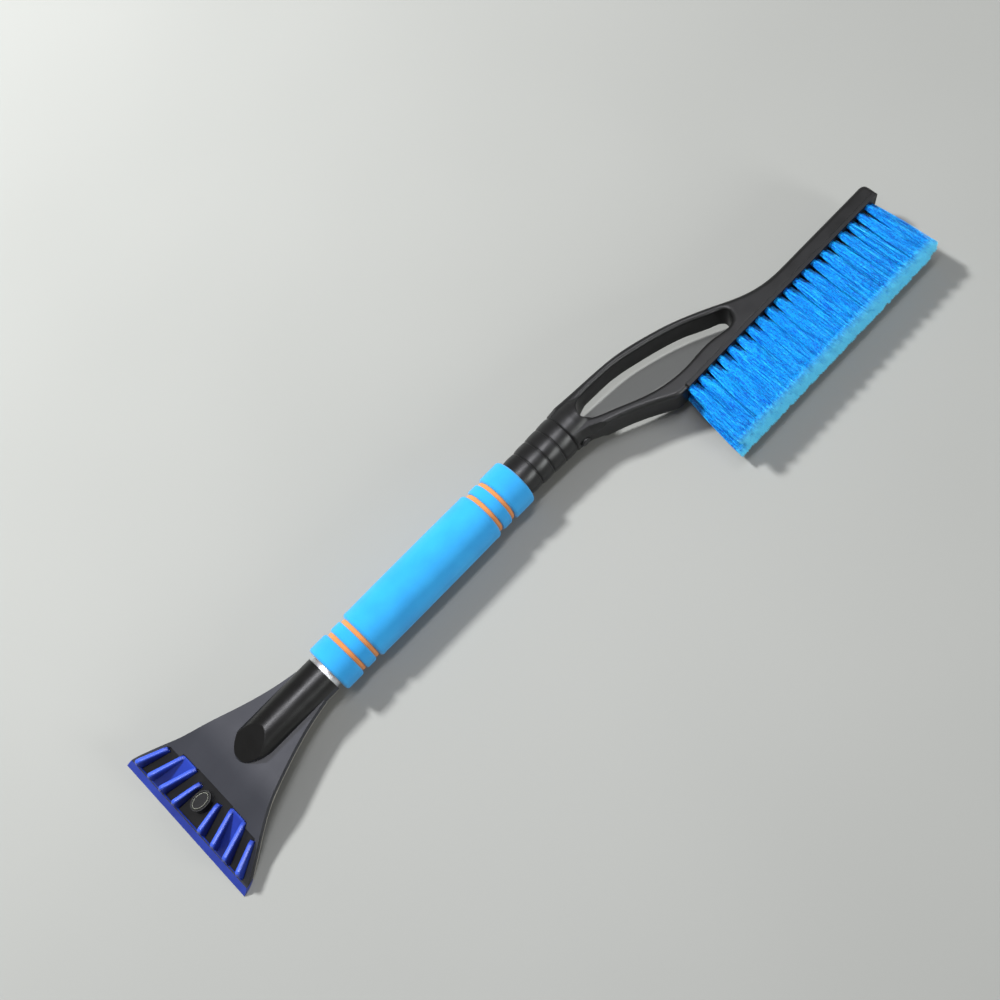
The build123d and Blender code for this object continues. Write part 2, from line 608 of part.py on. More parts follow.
def make_tuft_anchors():
    """Flat steel anchors, one at the bottom of each tuft hole."""
    high = BLOCK_FACE_Y + TUFT_HOLE_DEPTH - 0.1
    low = high - ANCHOR_DEPTH + 0.1
    return Compound(children=[block((x - ANCHOR_HALF_WIDTH, x + ANCHOR_HALF_WIDTH), (low, high),
                                    (z - ANCHOR_HALF_THICK, z + ANCHOR_HALF_THICK))
                              for x, z in all_tuft_places()])


def make_block_screws():
    return Compound(children=[back_screw(x) for x in BLOCK_SCREW_XS])


# ---------------------------------------------------------------- all pieces

def make_pieces():
    pieces = {
        "scraper_head": make_scraper_head(),
        "scraper_blade": make_scraper_blade(),
        "blade_plug": make_blade_plug(),
        "blade_plug_clip": make_blade_plug_clip(),
        "scraper_neck_screw": under_screw(NECK_SCREW_X, SOCKET_RADIUS, 9.0),
        "tube_insert": make_tube_insert(),
        "handle_tube": make_handle_tube(),
        "grip_core": make_grip_core(),
        "neck_collar": make_neck_collar(),
        "collar_screw": under_screw(COLLAR_SCREW_X, COLLAR_SURFACE, 5.0),
        "brush_frame": make_brush_frame(),
        "release_button": make_release_button(),
        "button_spring": make_button_spring(),
        "bristle_block": make_bristle_block(),
        "tuft_anchors": make_tuft_anchors(),
        "block_screws": make_block_screws(),
    }
    for name, sizes in FOAM_PIECES.items():
        pieces[name] = foam_piece(*sizes)
    for name, offset_z in ROW_OFFSETS.items():
        pieces[name] = make_bristle_row(offset_z)
    return pieces


os.makedirs("parts", exist_ok=True)
for name, piece in make_pieces().items():
    placed = TO_ROW * piece
    export_step(placed, f"parts/{name}.step")
    print(name, round(placed.volume), "mm3")
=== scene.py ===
import random
from collections import namedtuple
from math import cos, pi, radians, sin, sqrt

import bpy
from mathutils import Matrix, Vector, noise


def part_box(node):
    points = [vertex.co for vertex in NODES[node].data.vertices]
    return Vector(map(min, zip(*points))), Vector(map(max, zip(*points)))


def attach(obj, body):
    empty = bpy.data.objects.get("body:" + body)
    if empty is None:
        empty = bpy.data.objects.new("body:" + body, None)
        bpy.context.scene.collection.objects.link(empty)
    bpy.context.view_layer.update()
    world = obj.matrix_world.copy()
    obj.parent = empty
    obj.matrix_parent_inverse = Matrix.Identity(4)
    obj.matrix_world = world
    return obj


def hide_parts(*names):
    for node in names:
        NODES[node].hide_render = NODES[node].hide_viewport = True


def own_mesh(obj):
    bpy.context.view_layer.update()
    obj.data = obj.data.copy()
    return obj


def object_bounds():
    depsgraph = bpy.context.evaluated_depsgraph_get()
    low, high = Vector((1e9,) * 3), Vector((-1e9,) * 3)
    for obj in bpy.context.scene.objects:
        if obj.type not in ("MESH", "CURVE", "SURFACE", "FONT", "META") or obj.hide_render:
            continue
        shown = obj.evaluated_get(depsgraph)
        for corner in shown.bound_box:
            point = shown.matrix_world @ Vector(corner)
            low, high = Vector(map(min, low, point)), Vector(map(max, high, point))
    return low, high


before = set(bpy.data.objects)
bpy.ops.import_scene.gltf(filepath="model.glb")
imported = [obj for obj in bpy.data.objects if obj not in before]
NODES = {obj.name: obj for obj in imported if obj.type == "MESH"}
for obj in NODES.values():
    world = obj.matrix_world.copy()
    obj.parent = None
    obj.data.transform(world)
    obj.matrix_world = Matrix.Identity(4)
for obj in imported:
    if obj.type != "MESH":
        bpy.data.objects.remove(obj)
CAD_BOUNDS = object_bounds()
MM = 0.001

# ---------------------------------------------------------------- places on the object

AXIS_Y = sum(corner.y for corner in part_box("handle_tube")) / 2
AXIS_Z = sum(corner.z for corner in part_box("handle_tube")) / 2
PLATE_Z = AXIS_Z + 3.2 * MM                 # top of the scraper's plate, where it is level
WALL_DEPTH = 7.0 * MM                       # from there down to the foot of the plate's rim
BEND_X = CAD_BOUNDS[0].x + 60.0 * MM        # the plate slopes down from here towards the blade
PLATE_SLOPE = 0.335
BROW_X = CAD_BOUNDS[0].x + 36.0 * MM        # the step down to the sunk floor between the fins
BLUE_FOAM = ["grip_collar_front", "grip_ring_front", "grip_main", "grip_ring_rear", "grip_collar_rear"]
# Each row of bristles, and how far the edge of a tuft is trimmed back from its middle.
BRISTLE_ROWS = {
    "bristle_row_lower": 0.2 * MM,
    "bristle_row_inner_lower": 0.4 * MM,
    "bristle_row_inner_upper": 0.8 * MM,
    "bristle_row_upper": 3.0 * MM,
}

# ---------------------------------------------------------------- camera, lights and floor

CAMERA_PLACE = (-0.19994, -0.29938, 0.87206)
CAMERA_TURN = (radians(22.0504), radians(7.1882), radians(-45.8038))
CAMERA_LENS = 46.09
FLOOR_REACH = 30.0                          # half the floor's width, in metres


def add_camera():
    """A camera above the handle, looking down along the tool's diagonal."""
    data = bpy.data.cameras.new("camera")
    data.lens = CAMERA_LENS
    data.sensor_width = 36.0
    camera = bpy.data.objects.new("camera", data)
    camera.location = CAMERA_PLACE
    camera.rotation_euler = CAMERA_TURN
    bpy.context.scene.collection.objects.link(camera)
    bpy.context.scene.camera = camera


def add_lamp(data, place, power, colour, glossy=True, diffuse=True):
    """A lamp that faces the middle of the floor, and lights sheens, faces or both."""
    data.energy = power
    data.color = colour
    lamp = bpy.data.objects.new(data.name, data)
    lamp.location = place
    lamp.rotation_euler = (-Vector(place)).to_track_quat("-Z", "Y").to_euler()
    lamp.visible_camera = False
    lamp.visible_glossy = glossy
    lamp.visible_diffuse = diffuse
    bpy.context.scene.collection.objects.link(lamp)


def bulb(name, radius):
    """A round lamp that shines every way."""
    data = bpy.data.lights.new(name, "POINT")
    data.shadow_soft_size = radius
    return data


def panel(name, width, depth):
    """A flat lamp that shines one way."""
    data = bpy.data.lights.new(name, "AREA")
    data.shape = "RECTANGLE"
    data.size = width
    data.size_y = depth
    return data


def add_studio():
    """An even sky, a key bulb behind the tool, a strip above it, and a wide fill in front."""
    world = bpy.data.worlds.new("studio")
    world.use_nodes = True
    background = world.node_tree.nodes["Background"]
    background.inputs["Color"].default_value = (1.0, 0.975, 0.93, 1.0)
    background.inputs["Strength"].default_value = 0.27
    bpy.context.scene.world = world
    above = (0.0, 0.10, 1.60)
    add_lamp(bulb("key_light", 0.13), (-0.32, 1.28, 1.42), 275.0, (1.0, 1.0, 0.985), glossy=False)
    add_lamp(panel("top_light", 1.4, 0.22), above, 12.0, (0.96, 0.97, 1.0))
    add_lamp(panel("top_sheen", 1.4, 0.26), above, 20.0, (0.92, 0.91, 1.0), diffuse=False)
    add_lamp(bulb("fill_light", 0.50), (1.00, -2.80, 0.96), 220.0, (1.0, 1.0, 0.96), glossy=False)
    add_lamp(panel("fill_sheen", 0.9, 0.45), (0.45, -1.25, 0.80), 14.0, (0.97, 1.0, 0.99), diffuse=False)
    # A plain display transform keeps the foam's bright azure; the default one greys it.
    bpy.context.scene.view_settings.view_transform = "Standard"


# ---------------------------------------------------------------- material building blocks

BEVEL_SAMPLES = 4
FLAT_AGREEMENT = 0.995                      # below this a face counts as near an edge


class Recipe:
    """A Principled material, with short ways to add and join its nodes."""

    def __init__(self, name, **constants):
        self.material = bpy.data.materials.new(name)
        self.material.use_nodes = True
        self.tree = self.material.node_tree
        self.shader = self.tree.nodes["Principled BSDF"]
        for socket, value in constants.items():
            self.shader.inputs[socket.replace("_", " ")].default_value = value
        self.place = self.add("TexCoord").outputs["Object"]

    def add(self, kind, inputs=None, **settings):
        node = self.tree.nodes.new("ShaderNode" + kind)
        for key, value in settings.items():
            setattr(node, key, value)
        for socket, value in (inputs or {}).items():
            self.feed(value, node.inputs[socket])
        return node

    def feed(self, value, socket):
        """Join an output to a socket, or set the socket's own value."""
        if isinstance(value, bpy.types.NodeSocket):
            self.tree.links.new(value, socket)
        else:
            socket.default_value = value

    def stretched(self, scale):
        return self.add("Mapping", {"Vector": self.place, "Scale": scale}).outputs["Vector"]

    def noise(self, scale, detail=3.0, roughness=0.55, vector=None):
        inputs = {"Vector": vector or self.place, "Scale": scale}
        inputs.update({"Detail": detail, "Roughness": roughness})
        return self.add("TexNoise", inputs).outputs["Fac"]

    def pores(self, scale):
        inputs = {"Vector": self.place, "Scale": scale, "Randomness": 1.0}
        return self.add("TexVoronoi", inputs).outputs["Distance"]

    def remap(self, value, low, high, to_low=0.0, to_high=1.0):
        inputs = {"Value": value, "From Min": low, "From Max": high}
        inputs.update({"To Min": to_low, "To Max": to_high})
        return self.add("MapRange", inputs).outputs["Result"]

    def math(self, operation, first, second):
        node = self.add("Math", operation=operation)
        self.feed(first, node.inputs[0])
        self.feed(second, node.inputs[1])
        return node.outputs[0]

    def mix(self, amount, first, second):
        node = self.add("Mix", data_type="RGBA")
        self.feed(amount, node.inputs["Factor"])
        self.feed(first, node.inputs["A"])
        self.feed(second, node.inputs["B"])
        return node.outputs["Result"]

    def axis(self, name):
        """One coordinate of the place on the object, in metres."""
        return self.add("SeparateXYZ", {"Vector": self.place}).outputs[name]

    def edges(self, width, sharpest=0.80):
        """From 0 on open faces to 1 along corners, as far in as width."""
        rounded = self.rounded_normal(width)
        true_normal = self.add("NewGeometry").outputs["Normal"]
        agreement = self.add("VectorMath", {0: rounded, 1: true_normal}, operation="DOT_PRODUCT")
        return self.remap(agreement.outputs["Value"], FLAT_AGREEMENT, sharpest)

    def rounded_normal(self, radius):
        return self.add("Bevel", {"Radius": radius}, samples=BEVEL_SAMPLES).outputs["Normal"]

    def colour(self, value):
        self.feed(value, self.shader.inputs["Base Color"])

    def roughness(self, value):
        self.feed(value, self.shader.inputs["Roughness"])

    def relief(self, heights, rounding=None):
        """Fine relief from (height, strength, depth) layers, over corners rounded by a radius."""
        normal = self.rounded_normal(rounding) if rounding else None
        for height, strength, depth in heights:
            inputs = {"Height": height, "Strength": strength, "Distance": depth}
            if normal:
                inputs["Normal"] = normal
            normal = self.add("Bump", inputs).outputs["Normal"]
        self.feed(normal, self.shader.inputs["Normal"])


def grey(value):
    """A dark neutral with a very slight blue in it."""
    return (value, value * 1.02, value * 1.07, 1.0)


# ---------------------------------------------------------------- materials

CORNER_ROUNDING = 0.35 * MM
SPARKLE = 0.22                              # strength of the moulds' spark texture


def black_wear(recipe):
    """Two masks for black plastic: long flow marks from moulding, and blotches from handling."""
    flow = recipe.noise(14.0, 2.0, vector=recipe.stretched((1.0, 3.0, 3.0)))
    return flow, recipe.noise(70.0, 5.0, 0.65)


def black_relief(recipe, flow, sparkle=SPARKLE, rounding=CORNER_ROUNDING):
    """A spark-eroded skin over faint flow marks."""
    spark = recipe.noise(2600.0, 2.0)
    recipe.relief([(spark, sparkle, 0.05 * MM), (flow, 0.06, 0.4 * MM)], rounding)


def moulded_black(name, base, roughness, rounding=CORNER_ROUNDING):
    """Satin moulded plastic: fine spark texture, faint flow marks, and paler scuffed corners."""
    recipe = Recipe(name, Specular_IOR_Level=0.4)
    flow, handled = black_wear(recipe)
    body = recipe.mix(recipe.remap(flow, 0.35, 0.7), grey(base * 0.85), grey(base * 1.2))
    scuffed = recipe.remap(handled, 0.38, 0.66, 0.1, 0.22)
    worn = recipe.math("MULTIPLY", recipe.edges(0.5 * MM), scuffed)
    recipe.colour(recipe.mix(worn, body, grey(0.13)))
    recipe.roughness(recipe.remap(handled, 0.3, 0.7, roughness - 0.05, roughness + 0.08))
    black_relief(recipe, flow, rounding=rounding)
    return recipe.material


def plug_black():
    """The oval plug: dark and satin, with a painted highlight as a thin pale line along its rim."""
    recipe = Recipe("plug_plastic", Specular_IOR_Level=0.3)
    flow, handled = black_wear(recipe)
    # Painted highlight: the rim's edge is painted pale, a little patchy.
    rim_highlight = (0.34, 0.35, 0.30, 1.0)
    patchy = recipe.remap(handled, 0.3, 0.6, 0.85, 1.0)
    rim_highlight_mask = recipe.math("MULTIPLY", recipe.edges(0.6 * MM, 0.965), patchy)
    recipe.colour(recipe.mix(rim_highlight_mask, grey(0.003), rim_highlight))
    recipe.roughness(recipe.remap(handled, 0.3, 0.7, 0.50, 0.60))
    black_relief(recipe, flow)
    return recipe.material


def scraper_black():
    """The scraper head's plastic: a spark-textured plate, painted shade on the sunken floors, a painted
    highlight along the foot of the rim, and a polished neck.
    """
    recipe = Recipe("scraper_plastic", Specular_IOR_Level=0.5)
    plate_dark = (0.0185, 0.0200, 0.0265, 1.0)
    plate_light = (0.0230, 0.0245, 0.0320, 1.0)
    foot_highlight = (0.36, 0.345, 0.305, 1.0)
    flow, handled = black_wear(recipe)
    before_bend = recipe.math("MAXIMUM", recipe.math("SUBTRACT", BEND_X, recipe.axis("X")), 0.0)
    plate_here = recipe.math("SUBTRACT", PLATE_Z, recipe.math("MULTIPLY", before_bend, PLATE_SLOPE))
    above = recipe.math("SUBTRACT", recipe.axis("Z"), plate_here)
    neck = recipe.remap(above, 0.3 * MM, 0.8 * MM)
    in_recess = recipe.remap(recipe.axis("X"), BROW_X + 0.3 * MM, BROW_X - 0.3 * MM)
    # Painted shade: the sunken floors between the fins, behind the brow, are darkened to near black.
    sunk_shade = recipe.math("MULTIPLY", recipe.remap(above, -0.4 * MM, -0.9 * MM), in_recess)
    sunk_shade = recipe.math("MULTIPLY", sunk_shade, recipe.remap(above, -3.0 * MM, -2.4 * MM))
    # Painted highlight: a thin pale line along the foot of the plate's rim wall.
    foot = recipe.remap(above, 0.9 * MM - WALL_DEPTH, 0.5 * MM - WALL_DEPTH)
    plate = recipe.mix(recipe.remap(flow, 0.35, 0.7), plate_dark, plate_light)
    body = recipe.mix(neck, plate, grey(0.0022))
    body = recipe.mix(sunk_shade, body, grey(0.003))
    scuffed = recipe.remap(handled, 0.35, 0.66, 0.10, 0.28)
    worn = recipe.math("MULTIPLY", recipe.edges(0.4 * MM), scuffed)
    worn = recipe.math("MULTIPLY", worn, recipe.math("SUBTRACT", 1.0, in_recess))
    body = recipe.mix(worn, body, grey(0.17))
    recipe.colour(recipe.mix(foot, body, foot_highlight))
    satin = recipe.remap(handled, 0.3, 0.7, 0.50, 0.60)
    recipe.roughness(recipe.math("SUBTRACT", satin, recipe.math("MULTIPLY", neck, 0.23)))
    black_relief(recipe, flow, recipe.remap(neck, 0.0, 1.0, SPARKLE, 0.03))
    return recipe.material


def blade_blue(fin_top):
    """Clear-bodied blue plastic: deep in the plate, with a painted highlight along the fin ridges, and
    pale frosting on worn edges.
    """
    recipe = Recipe("blade_plastic", Specular_IOR_Level=0.5, Coat_Weight=0.25, Coat_Roughness=0.18)
    scratches = recipe.noise(90.0, 4.0, 0.7, vector=recipe.stretched((0.35, 4.0, 1.0)))
    cloud = recipe.noise(40.0, 3.0)
    deep = (0.006, 0.018, 0.19, 1.0)
    middle = (0.010, 0.032, 0.28, 1.0)
    # This pale blue is used twice: as frosting on worn edges, and as the painted highlight on the fin
    # ridges.
    frost_and_highlight = (0.035, 0.085, 0.52, 1.0)
    body = recipe.mix(recipe.remap(cloud, 0.3, 0.7), deep, middle)
    # Painted highlight: the fins grow paler towards their ridges, broken up by scratches.
    ridge_highlight = recipe.remap(recipe.axis("Z"), fin_top - 2.4 * MM, fin_top - 0.2 * MM)
    ridge_highlight = recipe.math("MULTIPLY", ridge_highlight, recipe.remap(scratches, 0.2, 0.6, 0.7, 1.0))
    body = recipe.mix(ridge_highlight, body, frost_and_highlight)
    edge = recipe.math("MULTIPLY", recipe.edges(0.6 * MM), recipe.remap(scratches, 0.3, 0.7, 0.15, 0.6))
    recipe.colour(recipe.mix(edge, body, frost_and_highlight))
    recipe.roughness(recipe.remap(scratches, 0.25, 0.75, 0.26, 0.42))
    recipe.relief([(scratches, 0.12, 0.08 * MM)], rounding=0.4 * MM)
    return recipe.material


def foam(name, pale, deep, cell_size):
    """Closed-cell EVA foam: cut cells as tiny pits with painted shade in them, a dry matte skin and
    cloudy colour.
    """
    recipe = Recipe(name, Specular_IOR_Level=0.25, Sheen_Weight=0.18, Sheen_Roughness=0.6)
    cloud = recipe.noise(35.0, 4.0, 0.6)
    cells = recipe.pores(1.0 / cell_size)
    grain = recipe.noise(0.8 / cell_size, 4.0, 0.7)
    body = recipe.mix(recipe.remap(cloud, 0.3, 0.72), deep, pale)
    patchy = recipe.remap(grain, 0.45, 0.7, 0.1, 0.6)
    # Painted shade: the cell pits are darkened.
    pit_shade_mask = recipe.math("MULTIPLY", recipe.remap(cells, 0.25, 0.02), patchy)
    pit_shade = tuple(channel * 0.55 for channel in deep[:3]) + (1.0,)
    recipe.colour(recipe.mix(pit_shade_mask, body, pit_shade))
    recipe.roughness(recipe.remap(grain, 0.3, 0.7, 0.72, 0.9))
    recipe.relief([(cells, 0.30, 0.10 * MM), (grain, 0.35, 0.14 * MM)])
    return recipe.material


def bristle_nylon(root_y, tip_y):
    """Blue filaments, each a little different, that fade to pale flagged tips."""
    recipe = Recipe("bristle_nylon", Specular_IOR_Level=0.28)
    along = recipe.remap(recipe.axis("Y"), root_y, tip_y)
    strand = recipe.noise(1.0, 2.0, vector=recipe.stretched((1100.0, 60.0, 1100.0)))
    crimp = recipe.noise(1.0, 2.0, 0.6, vector=recipe.stretched((1000.0, 620.0, 1000.0)))
    dark = (0.000, 0.10, 0.62, 1.0)
    bright = (0.004, 0.48, 1.0, 1.0)
    glint = (0.10, 0.66, 1.0, 1.0)
    pale = (0.14, 0.70, 1.0, 1.0)
    mottle = recipe.math("MULTIPLY", strand, 0.45)
    mottle = recipe.math("ADD", mottle, recipe.math("MULTIPLY", crimp, 0.55))
    body = recipe.mix(recipe.remap(mottle, 0.42, 0.56), dark, bright)
    body = recipe.mix(recipe.remap(mottle, 0.57, 0.66), body, glint)
    ragged = recipe.math("ADD", along, recipe.remap(strand, 0.3, 0.7, -0.035, 0.035))
    recipe.colour(recipe.mix(recipe.remap(ragged, 0.855, 0.975), body, pale))
    recipe.roughness(recipe.remap(crimp, 0.3, 0.7, 0.34, 0.52))
    return recipe.material


def brushed_metal(name, colour, roughness, grain):
    """Metal with fine lines, drawn along the axis that grain leaves unstretched."""
    recipe = Recipe(name, Metallic=1.0, Anisotropic=0.3)
    lines = recipe.noise(1.0, 3.0, 0.7, vector=recipe.stretched(grain))
    stains = recipe.noise(120.0, 4.0)
    dull = tuple(channel * 0.72 for channel in colour) + (1.0,)
    recipe.colour(recipe.mix(recipe.remap(stains, 0.4, 0.75), colour + (1.0,), dull))
    recipe.roughness(recipe.remap(lines, 0.3, 0.7, roughness - 0.06, roughness + 0.08))
    recipe.relief([(lines, 0.15, 0.03 * MM)], rounding=0.15 * MM)
    return recipe.material


def floor_material():
    """Matt pale paper with a very slight cloud in it."""
    recipe = Recipe("pale_floor", Specular_IOR_Level=0.12)
    dark = (0.252, 0.258, 0.252, 1.0)
    light = (0.270, 0.276, 0.270, 1.0)
    cloud = recipe.noise(2.2, 2.0)
    recipe.colour(recipe.mix(recipe.remap(cloud, 0.3, 0.7), dark, light))
    recipe.roughness(recipe.remap(cloud, 0.3, 0.7, 0.48, 0.56))
    return recipe.material


def set_finish(material, *names):
    """Give CAD meshes one material."""
    for name in names:
        mesh = NODES[name].data
        mesh.materials.clear()
        mesh.materials.append(material)


# ---------------------------------------------------------------- foam grip

AROUND = 144
ARC_STEPS = 8
GAP_STEPS = 6
RING_SPACING = 2.5 * MM
SHOULDER = 3.0 * MM
SHOULDER_SHARE = 0.24                       # a short sleeve's shoulder, as a share of its length
SLEEVE_CROWN = 0.25 * MM
CORE_SWELL = 0.75 * MM
SKIN = 0.02 * MM                            # keeps two touching sleeves from sharing a surface
SLEEVE_DENTS = 0.16 * MM
CORE_DENTS = 0.08 * MM
DENTS_ALONG = 34.0                          # the dents' pattern, per metre along the handle
DENTS_AROUND = 1.6                          # and round it
CORE_SEED = 31.0
SLEEVE_SEEDS = (3.0, 5.0)                   # the first sleeve's, and the step to each next one


def profile_ring(x, radius, seed, wobble):
    """One ring of points round the handle, pressed in by up to wobble so it never stands proud."""
    ring = []
    for step in range(AROUND):
        angle = 2 * pi * step / AROUND
        spot = Vector((x * DENTS_ALONG, DENTS_AROUND * cos(angle), DENTS_AROUND * sin(angle) + seed))
        dent = wobble * (0.5 + 0.5 * noise.noise(spot))
        reach = radius - dent
        ring.append((x, AXIS_Y + reach * cos(angle), AXIS_Z + reach * sin(angle)))
    return ring


def mesh_piece(name, points, faces):
    """A new smooth-shaded object in the scene."""
    mesh = bpy.data.meshes.new(name)
    mesh.from_pydata(points, [], faces)
    mesh.validate()
    mesh.polygons.foreach_set("use_smooth", [True] * len(mesh.polygons))
    mesh.update()
    piece = bpy.data.objects.new(name, mesh)
    bpy.context.scene.collection.objects.link(piece)
    return piece


def turned_mesh(name, profile, seed, wobble):
    """A closed mesh of revolution from (x, radius) points that run once round the section."""
    points = []
    faces = []
    for x, radius in profile:
        points += profile_ring(x, radius, seed, wobble)
    for row in range(len(profile)):
        for step in range(AROUND):
            here, after = row * AROUND, (row + 1) % len(profile) * AROUND
            turn = (step + 1) % AROUND
            faces.append((here + step, here + turn, after + turn, after + step))
    return mesh_piece(name, points, faces)


def shoulder_profile(start, end, inner, outer, rounding, crown):
    """Section of a foam sleeve: flat ends, rounded shoulders and a faint crown between them."""
    shoulder = []
    for step in range(ARC_STEPS + 1):
        angle = pi / 2 * step / ARC_STEPS
        shoulder.append((rounding * (1 - sin(angle)), outer - rounding * (1 - cos(angle))))
    outline = [(start, inner)]
    outline += [(start + inset, radius) for inset, radius in reversed(shoulder)]
    spans = max(4, round((end - start) / RING_SPACING))
    for step in range(1, spans):
        share = step / spans
        x = start + rounding + (end - start - 2 * rounding) * share
        outline.append((x, outer - crown * (2 * share - 1) ** 4))
    outline += [(end - inset, radius) for inset, radius in shoulder]
    outline.append((end, inner))
    return outline


def add_foam_sleeve(node, material, seed):
    """One sleeve of the blue foam, on the orange core."""
    low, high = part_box(node)
    core_low, core_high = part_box("grip_core")
    inner = (core_high.z - core_low.z) / 2 - SKIN
    outer = (high.z - low.z) / 2
    length = high.x - low.x
    rounding = min(SHOULDER, length * SHOULDER_SHARE, outer - inner - 0.2 * MM)
    profile = shoulder_profile(low.x, high.x, inner, outer, rounding, SLEEVE_CROWN)
    sleeve = turned_mesh("foam_" + node, profile, seed, SLEEVE_DENTS)
    sleeve.data.materials.append(material)
    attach(sleeve, "handle")
    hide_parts(node)


def add_foam_core(material):
    """The orange inner sleeve: a straight tube that bulges a little in each gap of the blue foam."""
    low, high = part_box("grip_core")
    bore = (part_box("handle_tube")[1].z - AXIS_Z) + SKIN
    outer = (high.z - low.z) / 2
    sleeves = [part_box(name) for name in BLUE_FOAM]
    profile = [(low.x, bore), (low.x, outer - 1.2 * MM), (low.x + 0.6 * MM, outer - 0.4 * MM)]
    for before, after in zip(sleeves, sleeves[1:]):
        gap_start, gap_end = before[1].x, after[0].x
        # One step more on either side, under the edges of the blue foam.
        for step in range(-1, GAP_STEPS + 2):
            share = step / GAP_STEPS
            swell = CORE_SWELL * sqrt(max(0.0, 1 - (2 * share - 1) ** 2))
            profile.append((gap_start + (gap_end - gap_start) * share, outer - 0.1 * MM + swell))
    profile += [(high.x - 0.6 * MM, outer - 0.4 * MM), (high.x, outer - 1.2 * MM), (high.x, bore)]
    core = turned_mesh("foam_core", profile, CORE_SEED, CORE_DENTS)
    core.data.materials.append(material)
    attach(core, "handle")
    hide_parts("grip_core")


# ---------------------------------------------------------------- button spring

def add_leaf_spring(material):
    """The folded leaf spring behind the button, on its own copy of the CAD mesh."""
    spring = bpy.data.objects.new("leaf_spring", NODES["button_spring"].data.copy())
    bpy.context.scene.collection.objects.link(spring)
    spring.data.materials.clear()
    spring.data.materials.append(material)
    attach(spring, "brush_head")
    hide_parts("button_spring")
    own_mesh(spring)


# ---------------------------------------------------------------- bristles

FILAMENTS_PER_TUFT = 110
FILAMENT_RADIUS = 0.20 * MM
FILAMENT_TAPER = 0.3                        # share of the radius lost by the tip
HOLE_RADIUS = 2.05 * MM                     # a tuft's filaments leave the block within this
ROW_INSET = 0.3 * MM                        # how far their middles stay inside the row's own box
TIP_SIZES = (0.92, 1.16)                    # range of a tip's reach, against the CAD tuft's
FLARE = 1.7                                 # above 1, a tuft widens sooner after its root
STRANDS_PER_TIP = 2
FRAY_START = 0.35                           # share of the last bend where the strands begin
GOLDEN_ANGLE = 2.39996
SIDES = 3
BENDS = 7
FIRST_ROW_SEED = 100
# In mm: the spread of the tips' lengths, then the most that each random nudge can be.
TRIM_SPREAD = 1.3
TUFT_LEAN = 0.4
BOW_ALONG = 0.6
BOW_UP = 0.5
FRAY_ALONG = 1.1
FRAY_BACK = 0.9
FRAY_UP = 0.9

Ring = namedtuple("Ring", "middle half")    # an oval that a tuft passes through


def nudge(dice, most):
    """A random distance either way, at most this many millimetres."""
    return dice.uniform(-most, most) * MM


def disc_points(count, dice):
    """Even spiral of places on a unit disc, each nudged at random."""
    places = []
    for index in range(count):
        reach = sqrt((index + 0.5) / count)
        angle = index * GOLDEN_ANGLE + dice.uniform(-0.25, 0.25)
        places.append((reach * cos(angle), reach * sin(angle)))
    return places


def tube_along(path, radii, points, faces):
    """Add a thin closed prism along a path."""
    first = len(points)
    for (x, y, z), radius in zip(path, radii):
        for side in range(SIDES):
            angle = 2 * pi * side / SIDES
            points.append((x + radius * cos(angle), y, z + radius * sin(angle)))
    for row in range(len(path) - 1):
        for side in range(SIDES):
            here = first + row * SIDES
            turn = (side + 1) % SIDES
            faces.append((here + side, here + turn, here + SIDES + turn, here + SIDES + side))
    last = first + (len(path) - 1) * SIDES
    faces.append(tuple(first + side for side in reversed(range(SIDES))))
    faces.append(tuple(last + side for side in range(SIDES)))


def loose_groups(mesh):
    """Lists of the indices of vertices that hang together by edges or share a place."""
    leader = list(range(len(mesh.vertices)))

    def find(index):
        while leader[index] != index:
            leader[index] = leader[leader[index]]
            index = leader[index]
        return index

    by_place = {}
    for vertex in mesh.vertices:
        key = tuple(round(value * 1e6) for value in vertex.co)
        leader[find(vertex.index)] = find(by_place.setdefault(key, vertex.index))
    for edge in mesh.edges:
        leader[find(edge.vertices[0])] = find(edge.vertices[1])
    groups = {}
    for vertex in mesh.vertices:
        groups.setdefault(find(vertex.index), []).append(vertex.index)
    return list(groups.values())


def extent(corners):
    """The lowest and the highest corner of the box round some points."""
    low = Vector([min(corner[axis] for corner in corners) for axis in range(3)])
    high = Vector([max(corner[axis] for corner in corners) for axis in range(3)])
    return low, high


def tuft_boxes(node):
    """Each tuft of a row as (root centre, tip centre, tip half sizes), read from the CAD mesh."""
    mesh = NODES[node].data
    tufts = []
    for members in loose_groups(mesh):
        corners = [mesh.vertices[index].co for index in members]
        low, high = extent(corners)
        tip_low, tip_high = extent([corner for corner in corners if corner.y < low.y + 0.1 * MM])
        root_low, root_high = extent([corner for corner in corners if corner.y > high.y - 0.1 * MM])
        tufts.append(((root_low + root_high) / 2, (tip_low + tip_high) / 2, (tip_high - tip_low) / 2))
    return sorted(tufts, key=lambda tuft: tuft[0].x)


def blend_size(first, second, share):
    """The size that lies this share of the way from the first to the second."""
    return first + (second - first) * share


def kept_inside(spot, bounds):
    """The nearest place to a spot that lies in the row's own box."""
    low, high = bounds
    return tuple(min(max(spot[axis], low[axis]), high[axis]) for axis in range(3))


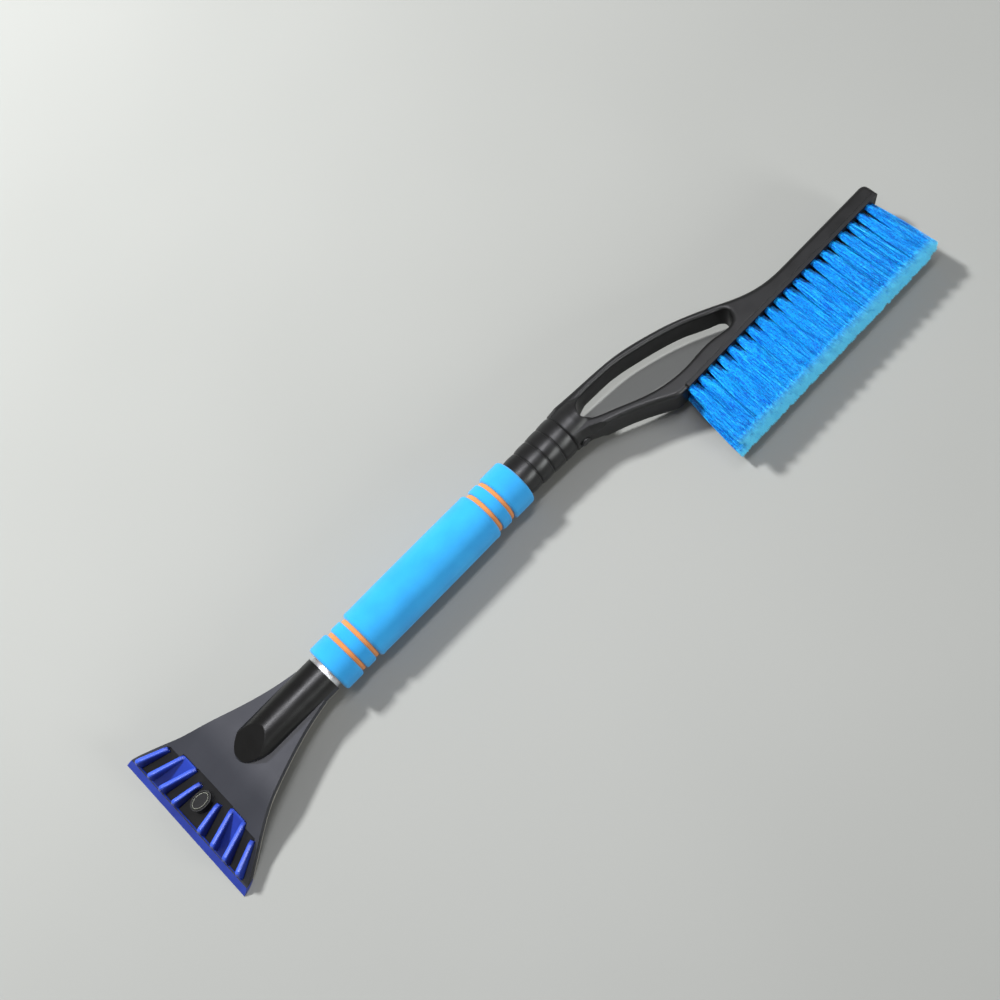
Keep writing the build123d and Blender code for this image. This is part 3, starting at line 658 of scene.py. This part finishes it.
def add_filament(root, tip, place, dice, bounds, points, faces):
    """One filament: it leaves its hole straight, flares into the tuft, and frays at its tip."""
    bow = Vector((nudge(dice, BOW_ALONG), 0.0, nudge(dice, BOW_UP)))
    path = []
    radii = []
    for step in range(BENDS + 1):
        share = step / BENDS
        flare = 1.0 - (1.0 - share) ** FLARE
        spot = root.middle.lerp(tip.middle, share)
        spot += Vector((place[0] * blend_size(root.half.x, tip.half.x, flare), 0.0,
                        place[1] * blend_size(root.half.z, tip.half.z, flare)))
        spot += bow * sin(pi * share)
        path.append(kept_inside(spot, bounds))
        radii.append(FILAMENT_RADIUS * (1.0 - FILAMENT_TAPER * share ** 3))
    tube_along(path, radii, points, faces)
    fray_start = Vector(path[-2]).lerp(Vector(path[-1]), FRAY_START)
    strand_radii = [FILAMENT_RADIUS * 0.7, FILAMENT_RADIUS * 0.4]
    for _ in range(STRANDS_PER_TIP):
        drift = Vector((nudge(dice, FRAY_ALONG), dice.uniform(0.0, FRAY_BACK) * MM, nudge(dice, FRAY_UP)))
        end = kept_inside(Vector(path[-1]) + drift, bounds)
        tube_along([tuple(fray_start), end], strand_radii, points, faces)


def add_bristle_row(node, material, seed, dome):
    """A row of tufts, each a bundle of separate filaments with its edge trimmed back by dome."""
    dice = random.Random(seed)
    low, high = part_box(node)
    inset = Vector((ROW_INSET, 0.0, ROW_INSET))
    bounds = (low + inset, high - inset)
    points = []
    faces = []
    for root_middle, tip_middle, tip_half in tuft_boxes(node):
        lean = Vector((nudge(dice, TUFT_LEAN), 0.0, nudge(dice, TUFT_LEAN)))
        root = Ring(root_middle, Vector((HOLE_RADIUS, 0.0, HOLE_RADIUS)))
        for place in disc_points(FILAMENTS_PER_TUFT, dice):
            tip = Ring(tip_middle + lean, tip_half * dice.uniform(*TIP_SIZES))
            trim = dome * (place[0] ** 2 + place[1] ** 2)
            tip.middle.y = low.y + trim + abs(dice.gauss(0.0, TRIM_SPREAD)) * MM
            add_filament(root, tip, place, dice, bounds, points, faces)
    row = mesh_piece("filaments_" + node, points, faces)
    row.data.materials.append(material)
    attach(row, "brush_head")
    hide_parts(node)


# ---------------------------------------------------------------- the object

add_camera()
add_studio()

set_finish(scraper_black(), "scraper_head")
set_finish(moulded_black("black_plastic", 0.0065, 0.33), "neck_collar")
set_finish(moulded_black("frame_plastic", 0.0065, 0.35, rounding=1.5 * MM), "brush_frame")
set_finish(moulded_black("inner_plastic", 0.020, 0.50), "tube_insert")
set_finish(moulded_black("block_plastic", 0.004, 0.50), "bristle_block")
set_finish(moulded_black("button_plastic", 0.012, 0.30), "release_button")
set_finish(plug_black(), "blade_plug")
set_finish(blade_blue(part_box("scraper_blade")[1].z), "scraper_blade")
aluminium = brushed_metal("tube_aluminium", (0.90, 0.91, 0.93), 0.46, (60.0, 4000.0, 4000.0))
set_finish(aluminium, "handle_tube")
spring_steel = brushed_metal("spring_steel", (0.58, 0.58, 0.60), 0.32, (80.0, 2500.0, 2500.0))
set_finish(spring_steel, "blade_plug_clip", "tuft_anchors")
add_leaf_spring(spring_steel)
screw_steel = brushed_metal("screw_steel", (0.56, 0.57, 0.58), 0.34, (1800.0, 1800.0, 60.0))
set_finish(screw_steel, "scraper_neck_screw", "collar_screw", "block_screws")

blue_foam = foam("blue_foam", (0.012, 0.285, 0.62, 1.0), (0.008, 0.235, 0.56, 1.0), 0.55 * MM)
orange_foam = foam("orange_foam", (0.53, 0.20, 0.055, 1.0), (0.47, 0.165, 0.042, 1.0), 0.6 * MM)
add_foam_core(orange_foam)
first_seed, seed_step = SLEEVE_SEEDS
for index, name in enumerate(BLUE_FOAM):
    add_foam_sleeve(name, blue_foam, first_seed + seed_step * index)

root_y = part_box("bristle_block")[0].y
tip_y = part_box("bristle_row_lower")[0].y
bristles = bristle_nylon(root_y, tip_y)
for index, (name, dome) in enumerate(BRISTLE_ROWS.items()):
    add_bristle_row(name, bristles, FIRST_ROW_SEED + index, dome)

floor_corners = [(x * FLOOR_REACH, y * FLOOR_REACH, 0) for x, y in ((-1, -1), (1, -1), (1, 1), (-1, 1))]
floor = mesh_piece("floor", floor_corners, [(0, 1, 2, 3)])
floor.data.materials.append(floor_material())
